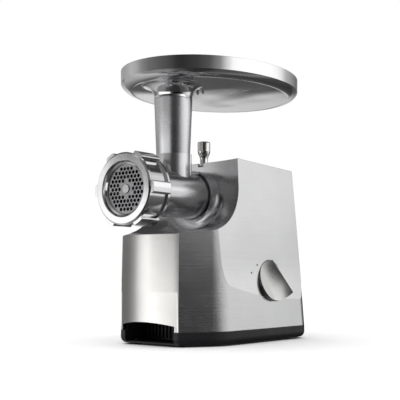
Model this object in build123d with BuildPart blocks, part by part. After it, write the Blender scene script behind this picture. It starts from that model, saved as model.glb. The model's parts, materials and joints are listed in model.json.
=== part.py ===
from build123d import *
import os
from math import acos, atan2, cos, degrees, hypot, pi, radians, sin, sqrt, tan

# Electric meat grinder, in millimetres, +Z up. The origin is on the table under the middle of
# the machine. The ring nut faces -Y and the speed dial is on the +X side.

os.makedirs("parts", exist_ok=True)

# ---------------------------------------------------------------- driving dimensions
AXIS_Z = 168.0  # height of the barrel, scroll and output shaft axis
RUN_FIT = 0.05  # radial clearance of a shaft in its bush
GAP = 0.4  # clearance between neighbouring bodies that move apart
WALL = 2.5  # housing wall

# screen plate, ring nut and cutting set
PLATE_FACE = -131.8  # front face of the screen plate
PLATE_R = 31.0
PLATE_T = 5.0
HOLE_PITCH = 5.0
HOLE_R = 2.0
HOLE_RING_IN = 2.0 * HOLE_PITCH
HOLE_RING_OUT = 4.6 * HOLE_PITCH
NUT_FRONT = -137.8
NUT_LENGTH = 34.0
NUT_R = 39.0
NUT_WAIST_R = 36.6
NUT_INNER_R = 34.4
NUT_LUG_R = 42.6
PIN_R = 4.5  # front pin of the scroll, through the screen plate

# grinder head
BARREL_R = 26.5
BORE_R = 23.2
OUTLET_FRONT = -21.8  # front lip of the outlet sleeve
SPIGOT_END = 8.0  # rear end of the barrel, inside the sleeve
TUBE_Y = -55.1  # feed tube axis
TUBE_TOP = 276.7
TUBE_TOP_R = 22.0
TUBE_LOW_R = 19.4

# hopper tray: an oval dish on a round neck
TRAY_Y = 15.8
TRAY_TOP = 315.1
TRAY_HALF_X = 97.0
TRAY_HALF_Y = 122.0
TRAY_BAND = 15.0
TRAY_SHEET = 1.3
DISH_SAG = 8.0  # depth of the dish below its band

# housing
FLOOR_GAP = 1.6  # underside of the base above the table
BAND_TOP = 15.8  # joint between the base and the housing
FORM_TOP = 216.0
FRONT_Y = -95.3
FRONT_HALF = 42.2
CHEEK_X, CHEEK_Y = 70.3, -51.5  # where the flared front meets the side, at the base
FLANK_X, FLANK_Y = 72.7, 35.0  # the side bows out slightly here
REAR_X, REAR_Y = 73.2, 120.5
TOP_SHRINK = 6.2  # how far the sides draw in by FORM_TOP
TOP_REAR_SHRINK = 14.8
CHEEK_R = 48.0
FLANK_R = 3000.0
REAR_CORNER_R = 20.0
SIDE_TOP_X = 59.7  # half-width of the side faces at the top edge
SIDE_LEAN = 0.055
COVE_TOP = 95.0  # below this height the side faces curve outwards
COVE_RATE = 0.00156
TOP_FRONT_Y, TOP_FRONT_Z = -13.6, 209.0
TOP_REAR_Z = 204.8  # at the rear edge

# scoop under the barrel: a profile turned about an upright axis in front of the machine
SCOOP_Y = -234.0
SCOOP_FACE_R = 229.5
SCOOP_ARC_R = 53.5
SCOOP_ARC_Z = 178.0
SCOOP_SLOPE = 6.6  # degrees, rise of the shoulder towards the rear
SHOULDER_FLAT_R = 144.8  # inside this radius the shoulder is level
BOWL_R = 45.0
BOWL_FILLET = 15.0
BOWL_BACK = -7.2

# front panel and air intake
PANEL_TOP, PANEL_LOW = 120.0, 21.0
PANEL_SAG = 12.0
PANEL_ARCH = 5.2
PANEL_SHEET = 2.0
DUCT_HALF = 37.5
DUCT_BACK = -56.0
DUCT_TOP = 27.5

# locking screw
KNOB_Y = 1.5
KNOB_TOP = 235.0
SPINDLE_R = 2.5

# speed dial, half sunk in the +X side and tilted up towards the user
DIAL_Y, DIAL_Z = 41.0, 69.2
DIAL_TILT = 16.0
DIAL_R = 24.0
DIAL_RIM = 3.0  # thickness of its rim
DIAL_TURN = -72.0  # direction of the grip's high end, from the rear towards the table
DIAL_GAP = 0.6
SWITCH_DEPTH = 8.0  # front of the rotary switch behind the dial

# drive train: motor below, output on the barrel axis
MOTOR_Z = 70.0
GEARBOX_FRONT = 22.0
PLATE_THICK = 5.5
FIRST = {"module": 1.0, "pinion": 12, "wheel": 60}
SECOND = {"module": 1.25, "pinion": 12, "wheel": 48}
THIRD = {"module": 1.5, "pinion": 12, "wheel": 36}
LAYSHAFT_R = 4.0
BUSH_R = 6.5
OUTPUT_R = 10.0
MOTOR_SHAFT_R = 4.0
PRESSURE_ANGLE = radians(20)
WEB_SUNK = 2.8  # depth of the sunk web in the two large gears
SQUARE = 12.0  # across flats of the scroll's square drive


# ---------------------------------------------------------------- geometry helpers
def facing(y):
    """Plane at depth y seen from the front: sketch x is X, sketch y is Z, extrudes to -Y."""
    return Plane.XZ.offset(-y)


FORWARD = (0, -1, 0)


def side_x(z):
    """Half-width of the side faces at height z: straight above, a shallow cove below."""
    cove = max(0.0, COVE_TOP - z)
    return SIDE_TOP_X + SIDE_LEAN * (TOP_FRONT_Z - z) + COVE_RATE * cove**2


def centre_distance(stage):
    """Distance between the shafts of one gear stage."""
    return stage["module"] * (stage["pinion"] + stage["wheel"]) / 2


MOTOR = (0.0, MOTOR_Z)
OUTPUT = (0.0, AXIS_Z)
LAY_1 = (-18.0, MOTOR_Z + sqrt(centre_distance(FIRST) ** 2 - 18.0**2))


def third_corner(a, b, from_a, from_b):
    """Point at the given distances from a and b, on the +X side."""
    span = hypot(b[0] - a[0], b[1] - a[1])
    along = (from_a**2 - from_b**2 + span**2) / (2 * span)
    aside = sqrt(from_a**2 - along**2)
    ux, uz = (b[0] - a[0]) / span, (b[1] - a[1]) / span
    return (a[0] + along * ux + aside * uz, a[1] + along * uz - aside * ux)


LAY_2 = third_corner(LAY_1, OUTPUT, centre_distance(SECOND), centre_distance(THIRD))

# depth bands of the gear train, front to rear
THIRD_Y = (GEARBOX_FRONT + 6.5, GEARBOX_FRONT + 18.5)
SECOND_Y = (GEARBOX_FRONT + 21.0, GEARBOX_FRONT + 31.0)
FIRST_Y = (GEARBOX_FRONT + 34.0, GEARBOX_FRONT + 42.0)
COVER_Y = GEARBOX_FRONT + 46.5
GEARBOX_REAR = COVER_Y + PLATE_THICK


def body_plan(level):
    """Corner points of the housing's plan on the +X side at height level."""
    rise = (level - BAND_TOP) / (FORM_TOP - BAND_TOP)
    draw = TOP_SHRINK * rise
    half_front = FRONT_HALF - 0.25 * draw
    front = FRONT_Y + 0.5 * draw
    rear = REAR_Y - TOP_REAR_SHRINK * rise
    cheek = (CHEEK_X - draw, CHEEK_Y)
    flank = (FLANK_X - draw, FLANK_Y)
    return [(half_front, front), cheek, flank, (REAR_X - draw, rear)]


def plan_face(level, inset=0.0):
    """Outline of the housing at height level, moved inwards by inset."""
    right = body_plan(level)
    with BuildSketch(Plane.XY.offset(level)) as plan:
        Polygon(*right, *[(-x, y) for x, y in reversed(right)], align=None)
        for rank, radius in ((-1, REAR_CORNER_R), (2, FLANK_R), (1, CHEEK_R)):
            fillet(plan.vertices().group_by(Axis.Y)[rank], radius)
        if inset:
            offset(amount=-inset, kind=Kind.INTERSECTION)
    return plan.sketch


def nose_face(level, inset=0.0):
    """Bowed front of the housing behind the front panel."""
    half, front = body_plan(level)[0]
    half, back = half - PANEL_SHEET - inset, front + 6.0
    with BuildSketch(Plane.XY.offset(level)) as nose:
        with BuildLine():
            bow = ThreePointArc(
                (-half, front - 0.05 + inset),
                (0, front - PANEL_SAG + PANEL_SHEET + inset),
                (half, front - 0.05 + inset),
            )
            Polyline(bow @ 1, (half, back), (-half, back), bow @ 0)
        make_face()
    return nose.sketch


def housing_form(inset, low, high):
    """Solid of the housing's outer shape, every wall moved inwards by inset."""
    with BuildPart() as form:
        loft([plan_face(low, inset), plan_face(high, inset)], ruled=True)
        loft([nose_face(low, inset), nose_face(high, inset)], ruled=True)
        # leaning side faces
        with BuildSketch(facing(REAR_Y + 10)) as lean:
            with BuildLine():
                heights = (low, (low + COVE_TOP) / 2, COVE_TOP)
                right_cove = ThreePointArc(*[(side_x(z) - inset, z) for z in heights])
                left_cove = ThreePointArc(*[(inset - side_x(z), z) for z in heights])
                Line(left_cove @ 0, right_cove @ 0)
                Polyline(
                    right_cove @ 1,
                    (side_x(high) - inset, high),
                    (inset - side_x(high), high),
                    left_cove @ 1,
                )
            make_face()
        extrude(amount=REAR_Y - FRONT_Y + 40, mode=Mode.INTERSECT)
        # sloping top
        with BuildSketch(Plane.YZ.offset(-REAR_X - 10)) as roof:
            fall = (TOP_FRONT_Z - TOP_REAR_Z) / (REAR_Y - TOP_REAR_SHRINK - TOP_FRONT_Y)
            ahead, behind = FRONT_Y - 20, REAR_Y + 20
            Polygon(
                (ahead, TOP_FRONT_Z - inset - fall * (ahead - TOP_FRONT_Y)),
                (behind, TOP_FRONT_Z - inset - fall * (behind - TOP_FRONT_Y)),
                (behind, high + 20),
                (ahead, high + 20),
                align=None,
            )
        extrude(amount=2 * REAR_X + 20, mode=Mode.SUBTRACT)
        # scoop: shoulder, round and upright face, turned about the upright axis
        with BuildSketch(Plane.YZ) as scoop:
            rise = radians(SCOOP_SLOPE)
            arc_y = SCOOP_Y + SCOOP_FACE_R - SCOOP_ARC_R
            reach = SCOOP_ARC_R + inset
            low_point = (arc_y + reach * sin(rise), SCOOP_ARC_Z - reach * cos(rise))
            half = (rise + pi / 2) / 2
            mid_point = (arc_y + reach * sin(half), SCOOP_ARC_Z - reach * cos(half))
            inner_y, flat_y = SCOOP_Y + 60.0, SCOOP_Y + SHOULDER_FLAT_R
            shoulder_z = low_point[1] - (low_point[0] - flat_y) * tan(rise)
            with BuildLine():
                Polyline((inner_y, shoulder_z), (flat_y, shoulder_z), low_point)
                ThreePointArc(low_point, mid_point, (arc_y + reach, SCOOP_ARC_Z))
                Polyline(
                    (arc_y + reach, SCOOP_ARC_Z),
                    (arc_y + reach, high + 10),
                    (inner_y, high + 10),
                    (inner_y, shoulder_z),
                )
            make_face()
        revolve(axis=Axis((0, SCOOP_Y, 0), (0, 0, 1)), mode=Mode.SUBTRACT)
        # bowl round the outlet
        with BuildSketch(Plane.YZ) as bowl:
            Polygon(
                (NUT_FRONT, AXIS_Z),
                (NUT_FRONT, AXIS_Z + BOWL_R + inset),
                (BOWL_BACK + inset, AXIS_Z + BOWL_R + inset),
                (BOWL_BACK + inset, AXIS_Z),
                align=None,
            )
            far_corner = bowl.vertices().sort_by(Axis.Y)[-2:].sort_by(Axis.Z)[-1]
            fillet(far_corner, BOWL_FILLET)
        revolve(axis=Axis((0, 0, AXIS_Z), (0, 1, 0)), mode=Mode.SUBTRACT)
    return form.part


outer_form = housing_form(0, BAND_TOP, FORM_TOP)
inner_form = housing_form(WALL, BAND_TOP, FORM_TOP)

# ---------------------------------------------------------------- housing
FEET = [(31.5, -79.0), (-31.5, -79.0), (50.0, 76.0), (-50.0, 76.0)]
SCREW_POSTS = [(sx * x, y) for x, y in ((56.0, -52.0), (62.5, 92.0)) for sx in (1, -1)]
POST_R = 5.0
POST_TOP = 34.0
dial_face = Plane(
    origin=(side_x(DIAL_Z), DIAL_Y, DIAL_Z),
    x_dir=(0, 1, 0),
    z_dir=(cos(radians(DIAL_TILT)), 0, sin(radians(DIAL_TILT))),
)
CORD_X, CORD_Z = -38.0, 34.0
VENT_PITCH = 6.0

with BuildPart() as dial_cup:
    with BuildSketch(dial_face.offset(-DIAL_GAP - 2.0)):
        Circle(DIAL_R + DIAL_GAP + 2.0)
    extrude(amount=14)
    add(outer_form, mode=Mode.INTERSECT)

with BuildPart() as dial_pedestal:
    with BuildSketch(dial_face.offset(-DIAL_GAP)):
        Circle(DIAL_R - 1.6)
    extrude(amount=-12)
    add(inner_form, mode=Mode.SUBTRACT)

with BuildPart() as main_housing:
    add(outer_form)
    add(inner_form, mode=Mode.SUBTRACT)
    # opening for the outlet sleeve
    with Locations(facing(0)):
        with Locations((0, AXIS_Z)):
            Cylinder(30.1, 80, mode=Mode.SUBTRACT)
    # opening for the locking screw, with a notch in the front edge
    with Locations((0, KNOB_Y, TOP_FRONT_Z)):
        Cylinder(5.3, 12, mode=Mode.SUBTRACT)
    with Locations((0, KNOB_Y - 6.0, TOP_FRONT_Z)):
        Cylinder(4.2, 9, mode=Mode.SUBTRACT)
    # seat of the dial: its upper half is a pocket, its lower half a low pedestal
    add(dial_cup.part)
    add(dial_pedestal.part)
    with BuildSketch(dial_face.offset(-DIAL_GAP)):
        Circle(DIAL_R + DIAL_GAP)
    extrude(amount=40, mode=Mode.SUBTRACT)
    with Locations(dial_face):
        Cylinder(4.0, 12, mode=Mode.SUBTRACT)
    # air intake: the front wall is open below the arch of the front panel
    with Locations((0, FRONT_Y, BAND_TOP)):
        Box(2 * DUCT_HALF, 30, 2 * (DUCT_TOP - BAND_TOP), mode=Mode.SUBTRACT)
    # cord inlet and a row of vents in the rear wall
    with Locations(facing(REAR_Y)):
        with Locations((CORD_X, CORD_Z)):
            Cylinder(8.05, 20, mode=Mode.SUBTRACT)
        with Locations((0, 150)):
            with GridLocations(VENT_PITCH, 0, 11, 1):
                Box(2.4, 30, 40, mode=Mode.SUBTRACT)
    # screw posts stand in the base and are tied to the side walls
    with BuildSketch(Plane.XY.offset(BAND_TOP + 0.2)):
        for x, y in SCREW_POSTS:
            with Locations((x, y)):
                Circle(POST_R)
                web = 8.0 if x > 0 else -8.0
                with Locations((web, 0)):
                    Rectangle(14, 3)
        add(plan_face(BAND_TOP, 1.8), mode=Mode.INTERSECT)
    extrude(amount=POST_TOP - BAND_TOP)
    with Locations([(x, y, BAND_TOP) for x, y in SCREW_POSTS]):
        Cylinder(1.3, 24, mode=Mode.SUBTRACT)
main_housing.part.label = "main_housing"
export_step(main_housing.part, "parts/main_housing.step")

# front panel: a thin curved cover with an arched lower edge
with BuildPart() as front_panel:
    panel_plans = []
    for level in (PANEL_LOW - 3, PANEL_TOP + 3):
        half, front = body_plan(level)[0]
        inner = half - PANEL_SHEET
        with BuildSketch(Plane.XY.offset(level)) as panel_plan:
            with BuildLine():
                outside = ThreePointArc((-half, front - 0.1), (0, front - PANEL_SAG), (half, front - 0.1))
                inside = ThreePointArc(
                    (inner, front - 0.1), (0, front - PANEL_SAG + PANEL_SHEET), (-inner, front - 0.1)
                )
                Line(outside @ 1, inside @ 0)
                Line(inside @ 1, outside @ 0)
            make_face()
        panel_plans.append(panel_plan.sketch)
    loft(panel_plans, ruled=True)
    # level top edge and arched lower edge
    with Locations((0, FRONT_Y, PANEL_TOP)):
        Box(100, 60, 20, align=(Align.CENTER, Align.CENTER, Align.MIN), mode=Mode.SUBTRACT)
    with BuildSketch(facing(FRONT_Y + 10)):
        with BuildLine():
            arch = ThreePointArc(
                (-50, PANEL_LOW - 2.0), (0, PANEL_LOW + PANEL_ARCH), (50, PANEL_LOW - 2.0)
            )
            Polyline(arch @ 1, (50, 0), (-50, 0), arch @ 0)
        make_face()
    extrude(amount=40, mode=Mode.SUBTRACT)
front_panel.part.label = "front_panel"
export_step(front_panel.part, "parts/front_panel.step")

# base pan with the air duct in its front
with BuildPart() as base_pan:
    with BuildSketch(Plane.XY.offset(BAND_TOP)) as pan_plan:
        add(plan_face(BAND_TOP))
        fillet(pan_plan.vertices().group_by(Axis.Y)[0], 6.0)
    extrude(amount=FLOOR_GAP - BAND_TOP)
    fillet(base_pan.faces().sort_by(Axis.Z)[0].edges(), 7.0)
    with BuildSketch(Plane.XY.offset(BAND_TOP)):
        add(pan_plan.sketch)
        offset(amount=-2 * WALL, kind=Kind.INTERSECTION)
    extrude(amount=FLOOR_GAP + 3.4 - BAND_TOP, mode=Mode.SUBTRACT)
    # duct walls and roof, then the duct itself
    duct_front = FRONT_Y + 4.0
    with Locations((0, (duct_front + DUCT_BACK) / 2, FLOOR_GAP + 3.0)):
        Box(
            2 * DUCT_HALF - 0.4,
            DUCT_BACK - duct_front,
            DUCT_TOP - FLOOR_GAP - 3.2,
            align=(Align.CENTER, Align.CENTER, Align.MIN),
        )
    with Locations((0, DUCT_BACK, FLOOR_GAP + 2.4)):
        Box(
            2 * DUCT_HALF - 4.4,
            2 * (DUCT_BACK - FRONT_Y) + 20,
            DUCT_TOP - FLOOR_GAP - 4.6,
            align=(Align.CENTER, Align.CENTER, Align.MIN),
            mode=Mode.SUBTRACT,
        )
    # screw posts
    with Locations([(x, y, FLOOR_GAP + 3.0) for x, y in SCREW_POSTS]):
        Cylinder(POST_R, BAND_TOP - FLOOR_GAP - 3.0, align=(Align.CENTER, Align.CENTER, Align.MIN))
    with Locations([(x, y, 0) for x, y in SCREW_POSTS]):
        Cylinder(1.7, 3 * BAND_TOP, mode=Mode.SUBTRACT)
        Cylinder(3.4, 16, mode=Mode.SUBTRACT)
    # feet sockets
    with Locations([(x, y, 0) for x, y in FEET]):
        Cylinder(3.0, 30, mode=Mode.SUBTRACT)
base_pan.part.label = "base_pan"
export_step(base_pan.part, "parts/base_pan.step")

for number, (x, y) in enumerate(FEET, start=1):
    with BuildPart() as foot:
        with Locations((x, y, 0)):
            Cylinder(7.0, FLOOR_GAP, align=(Align.CENTER, Align.CENTER, Align.MIN))
            Cylinder(3.0, FLOOR_GAP + 4.0, align=(Align.CENTER, Align.CENTER, Align.MIN))
        chamfer(foot.edges().group_by(Axis.Z)[0], 0.8)
    foot.part.label = f"foot_{number}"
    export_step(foot.part, f"parts/foot_{number}.step")

# upright bars at the back of the air duct
with BuildPart() as vent_grille:
    frame_w, frame_h = 2 * DUCT_HALF - 4.8, DUCT_TOP - FLOOR_GAP - 4.8
    with BuildSketch(facing(DUCT_BACK - 0.2)):
        with Locations((0, FLOOR_GAP + 2.5 + frame_h / 2)):
            Rectangle(frame_w, frame_h)
            with GridLocations(5.2, 0, 13, 1):
                SlotOverall(frame_h - 3.0, 2.9, rotation=90, mode=Mode.SUBTRACT)
    extrude(amount=2.5)
vent_grille.part.label = "vent_grille"
export_step(vent_grille.part, "parts/vent_grille.step")

with BuildPart() as base_screws:
    for x, y in SCREW_POSTS:
        with Locations((x, y, 8.0)):
            Cylinder(3.0, 1.8, align=(Align.CENTER, Align.CENTER, Align.MAX))
            Cylinder(1.25, 17.0, align=(Align.CENTER, Align.CENTER, Align.MIN))
        with Locations((x, y, 6.2)):
            Box(4.4, 0.8, 1.0, mode=Mode.SUBTRACT)
            Box(0.8, 4.4, 1.0, mode=Mode.SUBTRACT)
base_screws.part.label = "base_screws"
export_step(base_screws.part, "parts/base_screws.step")

with BuildPart() as cord_inlet:
    with Locations(facing(REAR_Y + 3.0)):
        with Locations((CORD_X, CORD_Z)):
            Cylinder(10.0, 3.0, align=(Align.CENTER, Align.CENTER, Align.MIN))
            Cylinder(8.0, 14.0, align=(Align.CENTER, Align.CENTER, Align.MIN))
    fillet(cord_inlet.edges().group_by(Axis.Y)[-1], 1.2)
    with Locations(facing(REAR_Y)):
        with Locations((CORD_X, CORD_Z)):
            Cylinder(3.6, 60, mode=Mode.SUBTRACT)
cord_inlet.part.label = "cord_inlet"
export_step(cord_inlet.part, "parts/cord_inlet.step")

# ---------------------------------------------------------------- outlet sleeve and clamp
with BuildPart() as outlet_sleeve:
    with BuildSketch(Plane.YZ):
        with BuildLine():
            Polyline(
                (OUTLET_FRONT, AXIS_Z + 28.6),
                (OUTLET_FRONT, AXIS_Z + 29.2),
                (OUTLET_FRONT + 0.8, AXIS_Z + 30.0),
                (GEARBOX_FRONT, AXIS_Z + 30.0),
                (GEARBOX_FRONT, AXIS_Z + BARREL_R + GAP),
                (OUTLET_FRONT + 5.0, AXIS_Z + BARREL_R + GAP),
                (OUTLET_FRONT + 3.0, AXIS_Z + 28.6),
                (OUTLET_FRONT, AXIS_Z + 28.6),
            )
        make_face()
    revolve(axis=Axis((0, 0, AXIS_Z), (0, 1, 0)))
    with Locations((0, 3.4, AXIS_Z + 28.0)):
        Box(14, 10.2, 9.2, align=(Align.CENTER, Align.CENTER, Align.MIN))
    with Locations((0, KNOB_Y, AXIS_Z)):
        Cylinder(3.4, 60, align=(Align.CENTER, Align.CENTER, Align.MIN), mode=Mode.SUBTRACT)
        Cylinder(
            3.7, BARREL_R + 5.6, align=(Align.CENTER, Align.CENTER, Align.MIN), mode=Mode.SUBTRACT
        )
outlet_sleeve.part.label = "outlet_sleeve"
export_step(outlet_sleeve.part, "parts/outlet_sleeve.step")

PAD_TOP = AXIS_Z + BARREL_R + GAP + 2.2
with BuildPart() as clamp_pad:
    with Locations((0, KNOB_Y, PAD_TOP)):
        Cylinder(3.1, 2.2, align=(Align.CENTER, Align.CENTER, Align.MAX))
clamp_pad.part.label = "clamp_pad"
export_step(clamp_pad.part, "parts/clamp_pad.step")

with BuildPart() as spindle_bush:
    with Locations((0, KNOB_Y, AXIS_Z + 37.4)):
        Cylinder(3.4, 5.0, align=(Align.CENTER, Align.CENTER, Align.MAX))
        Cylinder(SPINDLE_R + RUN_FIT, 30, mode=Mode.SUBTRACT)
spindle_bush.part.label = "spindle_bush"
export_step(spindle_bush.part, "parts/spindle_bush.step")

with BuildPart() as locking_knob:
    with BuildSketch(Plane.YZ) as profile:
        with BuildLine():
            y = KNOB_Y
            Polyline((y, PAD_TOP + 0.3), (y + SPINDLE_R, PAD_TOP + 0.3), (y + SPINDLE_R, 208.6))
            Polyline((y + SPINDLE_R, 208.6), (y + 4.7, 208.6), (y + 4.7, 214.5))
            ThreePointArc((y + 4.7, 214.5), (y + 5.4, 217.2), (y + 6.6, 219.6))
            TangentArc((y + 6.6, 219.6), (y + 7.5, 223.0), tangent=(0.45, 1))
            Line((y + 7.5, 223.0), (y + 7.7, KNOB_TOP - 1.5))
            ThreePointArc(
                (y + 7.7, KNOB_TOP - 1.5), (y + 7.1, KNOB_TOP - 0.4), (y + 6.0, KNOB_TOP)
            )
            Polyline((y + 6.0, KNOB_TOP), (y, KNOB_TOP + 0.5), (y, PAD_TOP + 0.3))
        make_face()
    revolve(axis=Axis((0, KNOB_Y, 0), (0, 0, 1)))
locking_knob.part.label = "locking_knob"
export_step(locking_knob.part, "parts/locking_knob.step")

# ---------------------------------------------------------------- grinder head
POCKET_REAR = -117.0
with BuildPart() as grinder_head:
    # barrel, with the wider threaded mouth
    with BuildSketch(Plane.YZ):
        Polygon(
            (PLATE_FACE + 1.0, AXIS_Z),
            (PLATE_FACE + 1.0, AXIS_Z + NUT_INNER_R - GAP),
            (-107.0, AXIS_Z + NUT_INNER_R - GAP),
            (-101.0, AXIS_Z + BARREL_R + 1.0),
            (-97.0, AXIS_Z + BARREL_R),
            (SPIGOT_END, AXIS_Z + BARREL_R),
            (SPIGOT_END, AXIS_Z),
            align=None,
        )
    revolve(axis=Axis((0, 0, AXIS_Z), (0, 1, 0)))
    # feed tube
    with BuildSketch(Plane.XY.offset(AXIS_Z)):
        with Locations((0, TUBE_Y)):
            Circle(TUBE_LOW_R)
    with BuildSketch(Plane.XY.offset(AXIS_Z + 45)):
        with Locations((0, TUBE_Y)):
            Circle(TUBE_LOW_R)
    with BuildSketch(Plane.XY.offset(TUBE_TOP)):
        with Locations((0, TUBE_Y)):
            Circle(TUBE_TOP_R)
    loft(ruled=True)
    # rib in the rear corner of tube and barrel
    with Locations((12.0, TUBE_Y + 13.5, AXIS_Z)):
        Cylinder(3.4, 46, align=(Align.CENTER, Align.CENTER, Align.MIN))
    # bores
    with BuildSketch(Plane.YZ):
        Polygon(
            (PLATE_FACE - 5.0, AXIS_Z),
            (PLATE_FACE - 5.0, AXIS_Z + PLATE_R + 0.3),
            (POCKET_REAR, AXIS_Z + PLATE_R + 0.3),
            (POCKET_REAR, AXIS_Z + BORE_R),
            (SPIGOT_END - 6.0, AXIS_Z + BORE_R),
            (SPIGOT_END - 6.0, AXIS_Z + OUTPUT_R + RUN_FIT),
            (SPIGOT_END + 5.0, AXIS_Z + OUTPUT_R + RUN_FIT),
            (SPIGOT_END + 5.0, AXIS_Z),
            align=None,
        )
    revolve(axis=Axis((0, 0, AXIS_Z), (0, 1, 0)), mode=Mode.SUBTRACT)
    with Locations((0, TUBE_Y, AXIS_Z)):
        Cylinder(
            TUBE_LOW_R - 2.4, 130, align=(Align.CENTER, Align.CENTER, Align.MIN), mode=Mode.SUBTRACT
        )
    with Locations((0, TUBE_Y, TUBE_TOP)):
        Cylinder(
            TUBE_LOW_R + 0.2, 16, align=(Align.CENTER, Align.CENTER, Align.MAX), mode=Mode.SUBTRACT
        )
    # keyway for the screen plate
    with Locations((0, PLATE_FACE + 3.0, AXIS_Z - PLATE_R - 0.3)):
        Box(3.4, 8.0, 3.4, mode=Mode.SUBTRACT)
grinder_head.part.label = "grinder_head"
export_step(grinder_head.part, "parts/grinder_head.step")

with BuildPart() as screen_key:
    with Locations((0, PLATE_FACE + 3.5, AXIS_Z - PLATE_R - 0.3)):
        Box(3.2, 5.0, 3.0)
screen_key.part.label = "screen_key"
export_step(screen_key.part, "parts/screen_key.step")

row_pitch = HOLE_PITCH * sin(pi / 3)
screen_holes = []
for row in range(-5, 6):
    for column in range(-6, 7):
        x = (column + 0.5 * (row % 2)) * HOLE_PITCH
        if HOLE_RING_IN - 0.1 <= hypot(x, row * row_pitch) <= HOLE_RING_OUT:
            screen_holes.append((x, AXIS_Z + row * row_pitch))

with BuildPart() as screen_plate:
    with BuildSketch(facing(PLATE_FACE + PLATE_T)):
        with Locations(OUTPUT):
            Circle(PLATE_R)
            Circle(PIN_R + 0.3, mode=Mode.SUBTRACT)
        with Locations(screen_holes):
            Circle(HOLE_R, mode=Mode.SUBTRACT)
        with Locations((0, AXIS_Z - PLATE_R)):
            Rectangle(3.8, 4.0, mode=Mode.SUBTRACT)
    extrude(amount=PLATE_T)
screen_plate.part.label = "screen_plate"
export_step(screen_plate.part, "parts/screen_plate.step")

with BuildPart() as ring_nut:
    with BuildSketch(Plane.YZ):
        Polygon(
            (NUT_FRONT, AXIS_Z + 30.6),
            (NUT_FRONT, AXIS_Z + NUT_R - 1.6),
            (NUT_FRONT + 1.4, AXIS_Z + NUT_R),
            (NUT_FRONT + 4.5, AXIS_Z + NUT_R),
            (NUT_FRONT + 6.5, AXIS_Z + NUT_WAIST_R),
            (NUT_FRONT + NUT_LENGTH - 6.0, AXIS_Z + NUT_WAIST_R),
            (NUT_FRONT + NUT_LENGTH - 4.0, AXIS_Z + NUT_R),
            (NUT_FRONT + NUT_LENGTH - 1.0, AXIS_Z + NUT_R),
            (NUT_FRONT + NUT_LENGTH, AXIS_Z + NUT_R - 1.0),
            (NUT_FRONT + NUT_LENGTH, AXIS_Z + NUT_INNER_R),
            (PLATE_FACE, AXIS_Z + NUT_INNER_R),
            (PLATE_FACE, AXIS_Z + 26.8),
            (PLATE_FACE - 1.6, AXIS_Z + 26.8),
            (PLATE_FACE - 3.0, AXIS_Z + 29.0),
            (NUT_FRONT + 0.6, AXIS_Z + 30.0),
            align=None,
        )
    revolve(axis=Axis((0, 0, AXIS_Z), (0, 1, 0)))
    # six grip lugs
    with BuildSketch(facing(NUT_FRONT + NUT_LENGTH - 4.0)) as lugs:
        with Locations(OUTPUT):
            with PolarLocations(NUT_LUG_R - 4.5, 6):
                Rectangle(9.0, 13.0)
            Circle(NUT_LUG_R, mode=Mode.INTERSECT)
        tips = lugs.vertices().filter_by(
            lambda v: hypot(v.X, v.Z - AXIS_Z) > NUT_LUG_R - 0.8
        )
        fillet(tips, 1.8)
        with Locations(OUTPUT):
            Circle(NUT_WAIST_R - 1.5, mode=Mode.SUBTRACT)
    extrude(amount=NUT_LENGTH - 6.0)
ring_nut.part.label = "ring_nut"
export_step(ring_nut.part, "parts/ring_nut.step")

BLADE_REAR, BLADE_FRONT = POCKET_REAR - 1.2, PLATE_FACE + PLATE_T + GAP
with BuildPart() as cutter_blade:
    with BuildSketch(facing(BLADE_REAR)) as blades:
        with Locations(OUTPUT):
            Circle(10.5)
            with PolarLocations(14.5, 4):
                Rectangle(27.0, 8.0)
            Circle(27.5, mode=Mode.INTERSECT)
            Rectangle(9.0, 9.0, mode=Mode.SUBTRACT)
    extrude(amount=BLADE_REAR - BLADE_FRONT)
cutter_blade.part.label = "cutter_blade"
export_step(cutter_blade.part, "parts/cutter_blade.step")

# scroll: a tapered core with one helical flight, a front pin and a square drive tail
SCROLL_FRONT, SCROLL_REAR = POCKET_REAR - 0.8, SPIGOT_END - 6.8
FLIGHT_R = BORE_R - 0.7
with BuildPart() as scroll:
    with BuildSketch(Plane.YZ):
        Polygon(
            (SCROLL_REAR, AXIS_Z),
            (SCROLL_REAR, AXIS_Z + 17.0),
            (SCROLL_REAR - 4.0, AXIS_Z + 17.0),
            (SCROLL_REAR - 9.0, AXIS_Z + 9.0),
            (SCROLL_FRONT, AXIS_Z + 13.5),
            (SCROLL_FRONT, AXIS_Z),
            align=None,
        )
    revolve(axis=Axis((0, 0, AXIS_Z), (0, 1, 0)))
    start = Vector(0, SCROLL_REAR - 6.0, AXIS_Z)
    with BuildLine():
        flight_path = Helix(
            26.0, SCROLL_REAR - SCROLL_FRONT - 9.0, 8.0, center=start, direction=(0, -1, 0)
        )
    outward = (flight_path @ 0) - start
    with BuildSketch(Plane(origin=flight_path @ 0, x_dir=outward, z_dir=flight_path % 0)):
        with Locations(((FLIGHT_R - 8.0) / 2, 0)):
            Rectangle(FLIGHT_R - 8.0, 3.2)
    sweep(path=flight_path, is_frenet=True)
    with Locations(facing(SCROLL_FRONT)):
        with Locations(OUTPUT):
            Box(8.8, 8.8, SCROLL_FRONT - BLADE_FRONT, align=(Align.CENTER, Align.CENTER, Align.MIN))
            Cylinder(
                PIN_R, SCROLL_FRONT - PLATE_FACE + 1.2, align=(Align.CENTER, Align.CENTER, Align.MIN)
            )
    with Locations(facing(SPIGOT_END + 14.0)):
        with Locations(OUTPUT):
            Box(
                SQUARE, SQUARE, SPIGOT_END + 15.0 - SCROLL_REAR,
                align=(Align.CENTER, Align.CENTER, Align.MIN),
            )
    with Locations(facing(SPIGOT_END)):
        with Locations(OUTPUT):
            Cylinder(
                OUTPUT_R, SPIGOT_END + 1.0 - SCROLL_REAR, align=(Align.CENTER, Align.CENTER, Align.MIN)
            )
scroll.part.label = "scroll"
export_step(scroll.part, "parts/scroll.step")

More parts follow.
